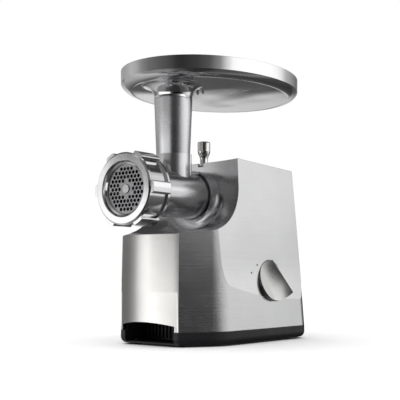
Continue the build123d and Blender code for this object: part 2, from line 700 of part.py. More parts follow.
with BuildPart() as scroll_washer:
    with BuildSketch(facing(SPIGOT_END - 6.1)):
        with Locations(OUTPUT):
            Circle(15.0)
            Circle(OUTPUT_R + 0.02, mode=Mode.SUBTRACT)
    extrude(amount=0.6)
scroll_washer.part.label = "scroll_washer"
export_step(scroll_washer.part, "parts/scroll_washer.step")

# ---------------------------------------------------------------- hopper tray
squeeze = TRAY_HALF_X / TRAY_HALF_Y


def dish_form(inset):
    """Round dish of the tray about the Z axis, before it is squeezed to an oval."""
    rim = TRAY_HALF_Y - inset
    band_low = TRAY_TOP - TRAY_BAND
    with BuildPart() as form:
        with BuildSketch(Plane.XZ):
            with BuildLine():
                Polyline((0, TRAY_TOP + inset), (rim, TRAY_TOP + inset), (rim - 0.4, band_low))
                ThreePointArc(
                    (rim - 0.4, band_low), (rim - 5.0, band_low - 4.4), (rim - 15.0, band_low - 6.6)
                )
                ThreePointArc(
                    (rim - 15.0, band_low - 6.6),
                    (0.5 * rim, band_low - DISH_SAG + 0.4 + 0.5 * inset),
                    (0, band_low - DISH_SAG + inset),
                )
                Line((0, band_low - DISH_SAG + inset), (0, TRAY_TOP + inset))
            make_face()
        revolve(axis=Axis.Z)
        scale(by=(squeeze, 1, 1))
    return form.part


dish_outer = dish_form(0)
dish_inner = dish_form(TRAY_SHEET)
UNDER_Z = TRAY_TOP - TRAY_BAND - DISH_SAG

with BuildPart() as hopper_tray:
    with Locations((0, TRAY_Y, 0)):
        add(dish_outer)
        add(dish_inner.moved(Location((0, 0, TRAY_SHEET))), mode=Mode.SUBTRACT)
    # neck, flaring into the underside
    with BuildSketch(Plane.YZ):
        with BuildLine():
            y = TUBE_Y
            Polyline(
                (y, UNDER_Z + 1.2),
                (y, TUBE_TOP - 14.0),
                (y + TUBE_LOW_R - 0.2, TUBE_TOP - 14.0),
                (y + TUBE_LOW_R - 0.2, TUBE_TOP + 0.25),
                (y + TUBE_TOP_R, TUBE_TOP + 0.25),
                (y + TUBE_TOP_R, TUBE_TOP + 3.0),
            )
            ThreePointArc(
                (y + TUBE_TOP_R, TUBE_TOP + 3.0),
                (y + TUBE_TOP_R + 4.0, UNDER_Z - 3.6),
                (y + TUBE_TOP_R + 14.5, UNDER_Z + 0.6),
            )
            Polyline(
                (y + TUBE_TOP_R + 14.5, UNDER_Z + 0.6),
                (y + TUBE_TOP_R + 14.5, UNDER_Z + 1.2),
                (y, UNDER_Z + 1.2),
            )
        make_face()
    revolve(axis=Axis((0, TUBE_Y, 0), (0, 0, 1)))
    # throat
    with Locations((0, TUBE_Y, TUBE_TOP - 20.0)):
        Cylinder(
            TUBE_LOW_R - 2.4, 60, align=(Align.CENTER, Align.CENTER, Align.MIN), mode=Mode.SUBTRACT
        )
hopper_tray.part.label = "hopper_tray"
export_step(hopper_tray.part, "parts/hopper_tray.step")

with BuildPart() as tray_rivets:
    with Locations([(x, TUBE_Y + 39.5, UNDER_Z - 0.9) for x in (-12.0, -4.0, 4.0, 12.0)]):
        Sphere(2.2)
    # the heads stand out below the sheet only
    with Locations((0, TUBE_Y + 39.5, UNDER_Z - 0.05)):
        Box(40, 20, 10, align=(Align.CENTER, Align.CENTER, Align.MIN), mode=Mode.SUBTRACT)
tray_rivets.part.label = "tray_rivets"
export_step(tray_rivets.part, "parts/tray_rivets.step")

# ---------------------------------------------------------------- speed dial and its switch
turn = radians(DIAL_TURN)
grip_dir = dial_face.x_dir * cos(turn) + dial_face.y_dir * sin(turn)
across_dir = dial_face.z_dir.cross(grip_dir)


def wave_face(reach, height):
    """Section across the grip, reach along it: a ramp up to a ridge of the given height."""
    plane = Plane(origin=dial_face.origin + grip_dir * reach, x_dir=across_dir, z_dir=grip_dir)
    rim = DIAL_R + 2
    with BuildSketch(plane) as wave:
        with BuildLine():
            Polyline((-rim, 0), (-rim, DIAL_RIM), (-12.0, DIAL_RIM + 0.1))
            middle = DIAL_RIM + 0.42 * (height - DIAL_RIM)
            ThreePointArc((-12.0, DIAL_RIM + 0.1), (0.5, middle), (9.0, height - 0.6))
            ThreePointArc((9.0, height - 0.6), (10.4, height), (11.6, height - 1.2))
            Polyline((11.6, height - 1.2), (14.0, DIAL_RIM), (rim, DIAL_RIM), (rim, 0), (-rim, 0))
        make_face()
    return wave.sketch


low_end, high_end = wave_face(-DIAL_R - 2, 6.5), wave_face(DIAL_R + 2, 16.5)
with BuildPart() as dial:
    loft([low_end, high_end], ruled=True)
    with BuildSketch(dial_face):
        Circle(DIAL_R)
    extrude(amount=40, mode=Mode.INTERSECT)
    with BuildSketch(dial_face.offset(1.0)):
        Circle(3.0)
    extrude(amount=-17.0)
dial.part.label = "dial"
export_step(dial.part, "parts/dial.step")

with BuildPart() as rotary_switch:
    with BuildSketch(dial_face.offset(-SWITCH_DEPTH)):
        RectangleRounded(30, 30, 4)
        Circle(3.0 + RUN_FIT, mode=Mode.SUBTRACT)
    extrude(amount=-12)
    with BuildSketch(dial_face.offset(-SWITCH_DEPTH)):
        Circle(6.5)
        Circle(3.0 + RUN_FIT, mode=Mode.SUBTRACT)
    extrude(amount=2.4)
    with BuildSketch(dial_face.offset(-SWITCH_DEPTH - 12.0)):
        with GridLocations(7, 10, 3, 2):
            Rectangle(1.0, 5.0)
    extrude(amount=-6)
rotary_switch.part.label = "rotary_switch"
export_step(rotary_switch.part, "parts/rotary_switch.step")


# ---------------------------------------------------------------- gears
def gear_face(module, teeth, bore, y, centre, phase):
    """Involute spur gear outline at depth y; phase is the angle of one tooth, in degrees."""
    pitch_r = module * teeth / 2
    base_r = pitch_r * cos(PRESSURE_ANGLE)
    tip_r = pitch_r + 0.92 * module
    root_r = pitch_r - 1.2 * module
    involute = tan(PRESSURE_ANGLE) - PRESSURE_ANGLE
    half_tooth = pi / (2 * teeth) - 0.06 * module / pitch_r

    def flank(radius):
        """Half the tooth's angle at the given radius."""
        pressure = acos(min(1.0, base_r / radius))
        return half_tooth + involute - (tan(pressure) - pressure)

    low_r = max(base_r, root_r)
    radii = [low_r, (low_r + pitch_r) / 2, (pitch_r + tip_r) / 2, tip_r]
    points = []
    for tooth in range(teeth):
        middle = radians(phase) + 2 * pi * tooth / teeth
        sides = [(root_r, -flank(low_r))] + [(r, -flank(r)) for r in radii]
        sides += [(r, flank(r)) for r in reversed(radii)] + [(root_r, flank(low_r))]
        if low_r == root_r:
            sides = sides[1:-1]
        points += [(r * cos(middle + a), r * sin(middle + a)) for r, a in sides]
    with BuildSketch(facing(y)) as outline:
        with Locations(centre):
            Polygon(*points, align=None)
            Circle(bore, mode=Mode.SUBTRACT)
    return outline.sketch


def direction(a, b):
    """Angle from centre a to centre b, in degrees."""
    return degrees(atan2(b[1] - a[1], b[0] - a[0]))


def wheel_phase(teeth, a, b):
    """Phase of the wheel at b, so that a gap faces the pinion's tooth at a."""
    return direction(b, a) + 180.0 / teeth


# name, stage, teeth, bore radius, depth band, centre, phase, outer radius of the sunk web
GEARS = (
    ("motor_pinion", FIRST, 12, MOTOR_SHAFT_R, FIRST_Y, MOTOR, direction(MOTOR, LAY_1), 0),
    ("first_gear", FIRST, 60, LAYSHAFT_R, FIRST_Y, LAY_1, wheel_phase(60, MOTOR, LAY_1), 26.0),
    ("second_pinion", SECOND, 12, LAYSHAFT_R, SECOND_Y, LAY_1, direction(LAY_1, LAY_2), 0),
    ("second_gear", SECOND, 48, LAYSHAFT_R, SECOND_Y, LAY_2, wheel_phase(48, LAY_1, LAY_2), 25.0),
    ("third_pinion", THIRD, 12, LAYSHAFT_R, THIRD_Y, LAY_2, direction(LAY_2, OUTPUT), 0),
    ("output_gear", THIRD, 36, OUTPUT_R, THIRD_Y, OUTPUT, wheel_phase(36, LAY_2, OUTPUT), 0),
)
for name, stage, teeth, bore, (gear_front, gear_rear), centre, phase, web_r in GEARS:
    outline = gear_face(stage["module"], teeth, bore, gear_rear, centre, phase)
    with BuildPart() as gear:
        extrude(outline, amount=gear_rear - gear_front, dir=FORWARD)
        if web_r:
            with BuildSketch(facing(gear_front + WEB_SUNK)):
                with Locations(centre):
                    Circle(web_r)
                    Circle(9.0, mode=Mode.SUBTRACT)
            extrude(amount=WEB_SUNK, mode=Mode.SUBTRACT)
    gear.part.label = name
    export_step(gear.part, f"parts/{name}.step")

for name, centre in (("first_layshaft", LAY_1), ("second_layshaft", LAY_2)):
    with BuildPart() as layshaft:
        with BuildSketch(facing(GEARBOX_REAR - 0.5)):
            with Locations(centre):
                Circle(LAYSHAFT_R)
        extrude(amount=GEARBOX_REAR - GEARBOX_FRONT - 1.0)
        chamfer(layshaft.edges(), 0.5)
    layshaft.part.label = name
    export_step(layshaft.part, f"parts/{name}.step")

# output shaft with a square socket for the scroll
SOCKET_FRONT = SPIGOT_END + 2.0
with BuildPart() as output_shaft:
    with BuildSketch(facing(THIRD_Y[1])):
        with Locations(OUTPUT):
            Circle(OUTPUT_R)
    extrude(amount=THIRD_Y[1] - SOCKET_FRONT)
    with BuildSketch(facing(SOCKET_FRONT + 14.0)):
        with Locations(OUTPUT):
            Rectangle(SQUARE + 2 * GAP, SQUARE + 2 * GAP)
    extrude(amount=16.0, mode=Mode.SUBTRACT)
output_shaft.part.label = "output_shaft"
export_step(output_shaft.part, "parts/output_shaft.step")

# ---------------------------------------------------------------- gearbox
MOTOR_BEARING_R = 8.0
OUTPUT_BUSH_R = 13.0
PLAN_CIRCLES = ((OUTPUT, 33.0), (LAY_2, 36.0), (LAY_1, 35.5), (MOTOR, 15.0))


def gearbox_outline(y, inset):
    """Rounded outline round all four gear centres, at depth y."""
    with BuildSketch(facing(y)) as outline:
        for centre, radius in PLAN_CIRCLES:
            with Locations(centre):
                Circle(radius - inset)
        make_hull()
    return outline.sketch


BASE_FLOOR = FLOOR_GAP + 3.4

with BuildPart() as gearbox_case:
    depth = COVER_Y - GEARBOX_FRONT
    extrude(gearbox_outline(COVER_Y, 0), amount=depth, dir=FORWARD)
    hollow = gearbox_outline(COVER_Y, 3.0)
    extrude(hollow, amount=depth - PLATE_THICK, dir=FORWARD, mode=Mode.SUBTRACT)
    # foot down to the base
    with Locations((0, GEARBOX_FRONT + PLATE_THICK / 2, BASE_FLOOR)):
        Box(40, PLATE_THICK, 60, align=(Align.CENTER, Align.CENTER, Align.MIN))
    with Locations((0, GEARBOX_FRONT + 12.0, BASE_FLOOR)):
        Box(40, 24.0, 5.0, align=(Align.CENTER, Align.CENTER, Align.MIN))
    # bosses and bores
    with BuildSketch(facing(GEARBOX_FRONT)):
        with Locations(OUTPUT):
            Circle(17.0)
    extrude(amount=GEARBOX_FRONT - SOCKET_FRONT - 1.0)
    with BuildSketch(facing(GEARBOX_FRONT + PLATE_THICK)):
        with Locations(OUTPUT):
            Circle(OUTPUT_BUSH_R)
        with Locations(LAY_1, LAY_2):
            Circle(BUSH_R)
        with Locations(MOTOR):
            Circle(MOTOR_BEARING_R)
    extrude(amount=30, mode=Mode.SUBTRACT)
gearbox_case.part.label = "gearbox_case"
export_step(gearbox_case.part, "parts/gearbox_case.step")

with BuildPart() as gearbox_cover:
    extrude(gearbox_outline(GEARBOX_REAR, 0), amount=PLATE_THICK, dir=FORWARD)
    with BuildSketch(facing(GEARBOX_REAR)):
        with Locations(LAY_1, LAY_2):
            Circle(BUSH_R)
    extrude(amount=PLATE_THICK, mode=Mode.SUBTRACT)
gearbox_cover.part.label = "gearbox_cover"
export_step(gearbox_cover.part, "parts/gearbox_cover.step")

bush_number = 0
for y in (GEARBOX_FRONT + PLATE_THICK, GEARBOX_REAR):
    for centre in (LAY_1, LAY_2):
        bush_number += 1
        with BuildPart() as layshaft_bush:
            with BuildSketch(facing(y)):
                with Locations(centre):
                    Circle(BUSH_R)
                    Circle(LAYSHAFT_R + RUN_FIT, mode=Mode.SUBTRACT)
            extrude(amount=PLATE_THICK)
        layshaft_bush.part.label = f"layshaft_bush_{bush_number}"
        export_step(layshaft_bush.part, f"parts/layshaft_bush_{bush_number}.step")

with BuildPart() as output_bush:
    with BuildSketch(facing(GEARBOX_FRONT + PLATE_THICK)):
        with Locations(OUTPUT):
            Circle(OUTPUT_BUSH_R)
            Circle(OUTPUT_R + RUN_FIT, mode=Mode.SUBTRACT)
    extrude(amount=GEARBOX_FRONT + PLATE_THICK - SOCKET_FRONT - 1.0)
output_bush.part.label = "output_bush"
export_step(output_bush.part, "parts/output_bush.step")

# ---------------------------------------------------------------- motor
STATOR_Y = (-44.0, -2.0)
FAN_Y = (4.0, 13.0)
COMMUTATOR_Y = (-70.0, -52.0)
FRONT_BEARING_Y = (-82.0, -76.0)
ARMATURE_R = 20.0
COMMUTATOR_R = 12.0
END_TURNS = 5.5

with BuildPart() as armature_shaft:
    with BuildSketch(facing(FIRST_Y[1] + 2.0)):
        with Locations(MOTOR):
            Circle(MOTOR_SHAFT_R)
    extrude(amount=FIRST_Y[1] + 2.0 - FRONT_BEARING_Y[0])
armature_shaft.part.label = "armature_shaft"
export_step(armature_shaft.part, "parts/armature_shaft.step")

with BuildPart() as armature_core:
    with BuildSketch(facing(STATOR_Y[1])):
        with Locations(MOTOR):
            Circle(ARMATURE_R)
            with PolarLocations(ARMATURE_R - 3.0, 12):
                SlotOverall(9.0, 2.6, mode=Mode.SUBTRACT)
            Circle(MOTOR_SHAFT_R, mode=Mode.SUBTRACT)
    extrude(amount=STATOR_Y[1] - STATOR_Y[0])
armature_core.part.label = "armature_core"
export_step(armature_core.part, "parts/armature_core.step")

with BuildPart() as armature_winding:
    for y in (STATOR_Y[1] + END_TURNS, STATOR_Y[0]):
        with BuildSketch(facing(y)):
            with Locations(MOTOR):
                Circle(17.0)
                Circle(MOTOR_SHAFT_R, mode=Mode.SUBTRACT)
        extrude(amount=END_TURNS)
armature_winding.part.label = "armature_winding"
export_step(armature_winding.part, "parts/armature_winding.step")

with BuildPart() as commutator:
    with BuildSketch(facing(COMMUTATOR_Y[1])):
        with Locations(MOTOR):
            Circle(COMMUTATOR_R)
            with PolarLocations(COMMUTATOR_R, 24):
                Rectangle(2.0, 0.6, mode=Mode.SUBTRACT)
            Circle(MOTOR_SHAFT_R, mode=Mode.SUBTRACT)
    extrude(amount=COMMUTATOR_Y[1] - COMMUTATOR_Y[0])
commutator.part.label = "commutator"
export_step(commutator.part, "parts/commutator.step")

with BuildPart() as cooling_fan:
    with BuildSketch(facing(FAN_Y[1])):
        with Locations(MOTOR):
            Circle(29.0)
            Circle(MOTOR_SHAFT_R, mode=Mode.SUBTRACT)
    extrude(amount=1.8)
    with BuildSketch(facing(FAN_Y[1])):
        with Locations(MOTOR):
            Circle(8.0)
            with PolarLocations(19.0, 12):
                Rectangle(19.0, 1.8, rotation=18)
            Circle(29.0, mode=Mode.INTERSECT)
            Circle(MOTOR_SHAFT_R, mode=Mode.SUBTRACT)
    extrude(amount=FAN_Y[1] - FAN_Y[0])
cooling_fan.part.label = "cooling_fan"
export_step(cooling_fan.part, "parts/cooling_fan.step")

with BuildPart() as motor_stator:
    with BuildSketch(facing(STATOR_Y[1])):
        with Locations(MOTOR):
            RectangleRounded(68.0, 62.0, 14.0)
            Circle(ARMATURE_R + 0.6, mode=Mode.SUBTRACT)
            # window for each field coil
            with PolarLocations(24.5, 2, start_angle=0):
                RectangleRounded(9.0, 30.0, 3.0, mode=Mode.SUBTRACT)
    extrude(amount=STATOR_Y[1] - STATOR_Y[0])
motor_stator.part.label = "motor_stator"
export_step(motor_stator.part, "parts/motor_stator.step")

for name, side in (("field_coil_left", -1), ("field_coil_right", 1)):
    with BuildPart() as field_coil:
        with BuildSketch(facing(STATOR_Y[1] + 3.5)):
            with Locations((side * 24.6, MOTOR_Z)):
                RectangleRounded(5.4, 24.0, 2.5)
        extrude(amount=STATOR_Y[1] - STATOR_Y[0] + 10.5)
    field_coil.part.label = name
    export_step(field_coil.part, f"parts/{name}.step")

with BuildPart() as motor_bearing:
    with BuildSketch(facing(FRONT_BEARING_Y[1])):
        with Locations(MOTOR):
            Circle(MOTOR_BEARING_R)
            Circle(MOTOR_SHAFT_R + RUN_FIT, mode=Mode.SUBTRACT)
    extrude(amount=FRONT_BEARING_Y[1] - FRONT_BEARING_Y[0])
motor_bearing.part.label = "motor_bearing_front"
export_step(motor_bearing.part, "parts/motor_bearing_front.step")

with BuildPart() as motor_bearing:
    with BuildSketch(facing(GEARBOX_FRONT + PLATE_THICK)):
        with Locations(MOTOR):
            Circle(MOTOR_BEARING_R)
            Circle(MOTOR_SHAFT_R + RUN_FIT, mode=Mode.SUBTRACT)
    extrude(amount=PLATE_THICK)
motor_bearing.part.label = "motor_bearing_rear"
export_step(motor_bearing.part, "parts/motor_bearing_rear.step")

# front motor frame: a bridge over the commutator, standing on the roof of the air duct
with BuildPart() as motor_frame_front:
    with BuildSketch(facing(FRONT_BEARING_Y[1])):
        with Locations(MOTOR):
            RectangleRounded(67.0, 26.0, 6.0)
            Circle(MOTOR_BEARING_R, mode=Mode.SUBTRACT)
    extrude(amount=FRONT_BEARING_Y[1] - FRONT_BEARING_Y[0])
    for side in (-1, 1):
        with Locations((side * 31.0, FRONT_BEARING_Y[0], MOTOR_Z - 4)):
            Box(
                5, STATOR_Y[0] - FRONT_BEARING_Y[0], 18,
                align=(Align.CENTER, Align.MIN, Align.CENTER),
            )
    with Locations((0, FRONT_BEARING_Y[1], DUCT_TOP)):
        Box(40, FRONT_BEARING_Y[1] - FRONT_BEARING_Y[0], 34, align=(Align.CENTER, Align.MAX, Align.MIN))
    with BuildSketch(facing(FRONT_BEARING_Y[1] + 1)):
        with Locations(MOTOR):
            Circle(MOTOR_BEARING_R)
    extrude(amount=20, mode=Mode.SUBTRACT)
motor_frame_front.part.label = "motor_frame_front"
export_step(motor_frame_front.part, "parts/motor_frame_front.step")

# fan shroud between the stator and the gearbox
with BuildPart() as fan_shroud:
    with BuildSketch(facing(GEARBOX_FRONT)):
        with Locations(MOTOR):
            Circle(33.0)
            Circle(30.5, mode=Mode.SUBTRACT)
    extrude(amount=GEARBOX_FRONT - STATOR_Y[1])
    # air outlet towards the rear
    with BuildSketch(facing(GEARBOX_FRONT)):
        with Locations((0, MOTOR_Z + 30)):
            Rectangle(24, 16)
    extrude(amount=GEARBOX_FRONT - FAN_Y[1] + 9, mode=Mode.SUBTRACT)
fan_shroud.part.label = "fan_shroud"
export_step(fan_shroud.part, "parts/fan_shroud.step")

for name, side in (("left", -1), ("right", 1)):
    brush_y = (COMMUTATOR_Y[0] + COMMUTATOR_Y[1]) / 2
    outward_align = (Align.MAX if side < 0 else Align.MIN, Align.CENTER, Align.CENTER)
    with BuildPart() as carbon_brush:
        with Locations((side * (COMMUTATOR_R + GAP), brush_y, MOTOR_Z)):
            Box(9.0, 7.0, 5.0, align=outward_align)
    carbon_brush.part.label = f"carbon_brush_{name}"
    export_step(carbon_brush.part, f"parts/carbon_brush_{name}.step")
    with BuildPart() as brush_holder:
        with Locations((side * (COMMUTATOR_R + 2.0), brush_y, MOTOR_Z)):
            Box(11.0, 10.0, 8.0, align=outward_align)
            Box(7.4, 7.2, 5.2, align=outward_align, mode=Mode.SUBTRACT)
    brush_holder.part.label = f"brush_holder_{name}"
    export_step(brush_holder.part, f"parts/brush_holder_{name}.step")

# ---------------------------------------------------------------- control board
with BuildPart() as control_board:
    with Locations((-50.0, -20.0, 62.0)):
        Box(1.6, 70.0, 56.0)
    # stand-offs to the base
    for y in (-36.0, 10.0):
        with Locations((-50.0, y, BASE_FLOOR)):
            Box(4.0, 8.0, 35.0 - BASE_FLOOR, align=(Align.CENTER, Align.CENTER, Align.MIN))
control_board.part.label = "control_board"
export_step(control_board.part, "parts/control_board.step")

with BuildPart() as filter_capacitor:
    with Locations((-49.2, -8.0, 76.0)):
        Box(11.0, 24.0, 15.0, align=(Align.MIN, Align.CENTER, Align.CENTER))
    fillet(filter_capacitor.edges().filter_by(Axis.X), 2.0)
filter_capacitor.part.label = "filter_capacitor"
export_step(filter_capacitor.part, "parts/filter_capacitor.step")
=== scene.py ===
import json
from math import pi, radians

import bpy
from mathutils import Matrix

# Looks of the electric meat grinder, in metres, in the CAD model's frame.

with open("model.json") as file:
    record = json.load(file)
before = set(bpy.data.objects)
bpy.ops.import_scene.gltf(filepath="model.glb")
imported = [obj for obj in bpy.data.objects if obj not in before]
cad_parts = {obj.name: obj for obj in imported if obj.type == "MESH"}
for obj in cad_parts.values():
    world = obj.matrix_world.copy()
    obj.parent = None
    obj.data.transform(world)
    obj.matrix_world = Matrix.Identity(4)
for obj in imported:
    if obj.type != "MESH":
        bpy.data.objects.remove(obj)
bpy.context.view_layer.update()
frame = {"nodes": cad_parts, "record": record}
nodes = frame["nodes"]
scene = bpy.context.scene
scene.view_settings.view_transform = "Standard"

# points that the turning marks run round
BARREL_AXIS = (0.0, 0.0, 0.168)  # on the axis of the barrel, nut and scroll
MOTOR_AXIS = (0.0, 0.0, 0.07)
TRAY_CENTRE = (0.0, 0.0158, 0.3)
KNOB_CENTRE = (0.0, 0.0015, 0.22)

# dial: its middle, how far its face tips up, and how far its grip is turned
DIAL_CENTRE = (0.06843, 0.041, 0.0692)
DIAL_TILT = radians(16)
DIAL_TURN = radians(-72)

# print on the housing, beside the dial
INDEX_DOTS = ((0.0673, 0.0035, 0.079), (0.0665, 0.016, 0.088))
DOT_RADIUS = 0.0012

# camera, which was fitted to the photo
CAMERA_PLACE = (0.6102, -0.7690, 0.0764)
CAMERA_TILT = radians(95.18)
CAMERA_TURN = radians(38.65)
LENS = 74.58  # mm
SENSOR = 36.0  # mm

FLOOR_RADIUS = 7.0
FLOOR_SIDES = 96
FLOOR_DARK = (0.88, 0.88, 0.88, 1.0)
FLOOR_LIGHT = (0.91, 0.91, 0.91, 1.0)

# broad soft light from above
KEY_STRENGTH = 3.9
KEY_SPREAD = radians(110)
KEY_TURN = (radians(8), radians(-6), 0.0)


# ---------------------------------------------------------------- camera
camera_data = bpy.data.cameras.new("camera")
camera_data.lens = LENS
camera_data.sensor_width = SENSOR
camera = bpy.data.objects.new("camera", camera_data)
camera.location = CAMERA_PLACE
camera.rotation_euler = (CAMERA_TILT, 0.0, CAMERA_TURN)
scene.collection.objects.link(camera)
scene.camera = camera


# ---------------------------------------------------------------- node helpers
class Tree:
    """The node tree of a material or a world, with short calls for the nodes used here."""

    def __init__(self, owner):
        owner.use_nodes = True
        self.nodes = owner.node_tree.nodes
        self.links = owner.node_tree.links
        self.nodes.clear()

    def add(self, kind, **values):
        """A new node, with its settings."""
        node = self.nodes.new(kind)
        for name, value in values.items():
            setattr(node, name, value)
        return node

    def feed(self, node, name, value):
        """Link another node's output into a socket, or set the socket to a constant."""
        socket = node.inputs[name]
        if isinstance(value, bpy.types.NodeSocket):
            self.links.new(value, socket)
        else:
            socket.default_value = value

    def maths(self, operation, *terms):
        node = self.add("ShaderNodeMath", operation=operation)
        for index, term in enumerate(terms):
            self.feed(node, index, term)
        return node.outputs[0]

    def place(self, scale=(1, 1, 1), origin=(0, 0, 0), turn=(0, 0, 0)):
        """Object coordinates about an origin, turned and stretched."""
        coords = self.add("ShaderNodeTexCoord").outputs["Object"]
        shift = self.add("ShaderNodeMapping", vector_type="POINT")
        self.feed(shift, "Vector", coords)
        shift.inputs["Location"].default_value = [-v for v in origin]
        spin = self.add("ShaderNodeMapping", vector_type="TEXTURE")
        self.feed(spin, "Vector", shift.outputs[0])
        spin.inputs["Rotation"].default_value = turn
        size = self.add("ShaderNodeMapping", vector_type="POINT")
        self.feed(size, "Vector", spin.outputs[0])
        size.inputs["Scale"].default_value = scale
        return size.outputs[0]

    def noise(self, vector, scale, detail=4.0, rough=0.55):
        node = self.add("ShaderNodeTexNoise")
        self.feed(node, "Vector", vector)
        node.inputs["Scale"].default_value = scale
        node.inputs["Detail"].default_value = detail
        node.inputs["Roughness"].default_value = rough
        return node.outputs["Fac"]

    def rings(self, axis, origin, scale):
        """Fine turning marks: rings round an axis."""
        node = self.add("ShaderNodeTexWave", wave_type="RINGS", rings_direction=axis)
        self.feed(node, "Vector", self.place(origin=origin))
        node.inputs["Scale"].default_value = scale
        node.inputs["Distortion"].default_value = 0.6
        node.inputs["Detail"].default_value = 3.0
        node.inputs["Detail Scale"].default_value = 2.0
        return node.outputs["Fac"]

    def span(self, value, low, high, start=0.3, end=0.7):
        """The range from start to end of a value, spread over low to high."""
        node = self.add("ShaderNodeMapRange")
        for name, number in (("Value", value), ("From Min", start), ("From Max", end),
                             ("To Min", low), ("To Max", high)):
            self.feed(node, name, number)
        return node.outputs[0]

    def blend(self, share, a, b):
        """Colour a where share is 0, and b where it is 1."""
        node = self.add("ShaderNodeMix", data_type="RGBA")
        for index, value in ((0, share), (6, a), (7, b)):
            self.feed(node, index, value)
        return node.outputs[2]

    def bump(self, height, distance, normal=None):
        """Normal bent by a height from 0 to 1, which stands for distance metres."""
        node = self.add("ShaderNodeBump")
        self.feed(node, "Height", height)
        node.inputs["Distance"].default_value = distance
        if normal is not None:
            self.feed(node, "Normal", normal)
        return node.outputs[0]

    def soft_edges(self, radius):
        """Normal that rounds off sharp edges, so they catch the light."""
        node = self.add("ShaderNodeBevel", samples=4)
        node.inputs["Radius"].default_value = radius
        return node.outputs[0]

    def surface(self, colour, roughness, normal, metallic=0.0, **constants):
        shader = self.add("ShaderNodeBsdfPrincipled")
        self.feed(shader, "Base Color", colour)
        self.feed(shader, "Roughness", roughness)
        self.feed(shader, "Normal", normal)
        shader.inputs["Metallic"].default_value = metallic
        for name, value in constants.items():
            shader.inputs[name.replace("_", " ")].default_value = value
        out = self.add("ShaderNodeOutputMaterial")
        self.feed(out, "Surface", shader.outputs[0])


def shade(colour, factor):
    """A colour made darker or lighter, as RGBA."""
    return tuple(min(1.0, channel * factor) for channel in colour) + (1.0,)


def new_material(name):
    material = bpy.data.materials.new(name)
    return material, Tree(material)


# ---------------------------------------------------------------- materials
# Each maker takes the colour, and rough as the least and the most roughness. Depths are in metres.
INK = (0.02, 0.02, 0.022, 1.0)
RUST = (0.24, 0.13, 0.08, 1.0)
BURNT_VARNISH = (0.26, 0.10, 0.05, 1.0)
RESIST = (0.02, 0.15, 0.06, 1.0)
THIN_RESIST = (0.03, 0.19, 0.08, 1.0)
DARK_RESIST = (0.02, 0.11, 0.05, 1.0)
TRACK = (0.08, 0.28, 0.10, 1.0)
POLISHED_EDGE = 0.0006  # radius of the soft edges on polished pieces
HOUSING_EDGE = 0.0007


def dots(t, points):
    """1 inside small printed dots at the given points, 0 elsewhere."""
    total = 0.0
    place = t.add("ShaderNodeTexCoord").outputs["Object"]
    for point in points:
        gap = t.add("ShaderNodeVectorMath", operation="DISTANCE")
        t.feed(gap, 0, place)
        gap.inputs[1].default_value = point
        total = t.maths("ADD", total, t.maths("LESS_THAN", gap.outputs["Value"], DOT_RADIUS))
    return total


def brushed(name, colour, rough, grain, scale, turn=(0, 0, 0), origin=(0, 0, 0), marks=(),
            edges=0.0):
    """Brushed sheet metal: streaks as long as scale is small, with cloudy changes of sheen."""
    material, t = new_material(name)
    streaks = t.noise(t.place(scale, origin, turn), 1.0, 6.0, 0.7)
    cloud = t.noise(t.place(), 22.0, 3.0)
    tint = t.blend(t.span(streaks, 0.0, 1.0), shade(colour, 0.93), shade(colour, 1.05))
    tint = t.blend(t.span(cloud, 0.0, 0.15), tint, shade(colour, 0.86))
    if marks:
        tint = t.blend(dots(t, marks), tint, INK)
    mixed = t.maths("ADD", t.maths("MULTIPLY", streaks, 0.6), t.maths("MULTIPLY", cloud, 0.4))
    sheen = t.span(mixed, rough[0], rough[1], 0.35, 0.65)
    normal = t.soft_edges(edges) if edges else None
    t.surface(tint, sheen, t.bump(streaks, grain, normal), 1.0)
    return material


def polished(name, colour, rough, ring_axis, origin, ring_scale, ring_depth, wave=0.0024):
    """Polished turned or spun metal: faint rings, slow waviness and fine wiping scratches."""
    material, t = new_material(name)
    rings = t.rings(ring_axis, origin, ring_scale)
    cloud = t.noise(t.place(), 30.0, 3.0)
    wiping = t.noise(t.place((300, 60, 900), turn=(0.4, 0.3, 0.8)), 1.0, 3.0)
    tint = t.blend(t.span(cloud, 0.0, 1.0), shade(colour, 0.93), shade(colour, 1.03))
    sheen = t.maths("ADD", t.span(cloud, rough[0], rough[1]), t.span(wiping, 0.0, 0.03))
    waves = t.bump(t.noise(t.place(), 9.0, 1.0), wave, t.soft_edges(POLISHED_EDGE))
    t.surface(tint, sheen, t.bump(rings, ring_depth, waves), 1.0)
    return material


def cast(name, colour, rough, grain):
    """Cast or tumbled metal: pebbled skin, soft hollows and small darker specks."""
    material, t = new_material(name)
    skin = t.noise(t.place(), 900.0, 4.0, 0.6)
    hollow = t.noise(t.place(), 55.0, 3.0)
    specks = t.add("ShaderNodeTexVoronoi")
    t.feed(specks, "Vector", t.place())
    specks.inputs["Scale"].default_value = 420.0
    pit = t.maths("LESS_THAN", specks.outputs["Distance"], 0.12)
    tint = t.blend(t.span(hollow, 0.0, 1.0), shade(colour, 0.90), shade(colour, 1.05))
    tint = t.blend(t.maths("MULTIPLY", pit, 0.35), tint, shade(colour, 0.6))
    height = t.maths("ADD", skin, t.maths("MULTIPLY", hollow, 1.5))
    t.surface(tint, t.span(hollow, rough[0], rough[1]), t.bump(height, grain), 1.0)
    return material


def moulded(name, colour, rough, grain, size=1400.0, **constants):
    """Moulded plastic or rubber: spark-eroded grain and slight unevenness of colour."""
    material, t = new_material(name)
    skin = t.noise(t.place(), size, 3.0, 0.6)
    cloud = t.noise(t.place(), 40.0, 3.0)
    tint = t.blend(t.span(skin, 0.0, 1.0), shade(colour, 0.78), shade(colour, 1.22))
    tint = t.blend(t.span(cloud, 0.0, 0.4), tint, shade(colour, 1.3))
    t.surface(tint, t.span(cloud, rough[0], rough[1]), t.bump(skin, grain), 0.0, **constants)
    return material


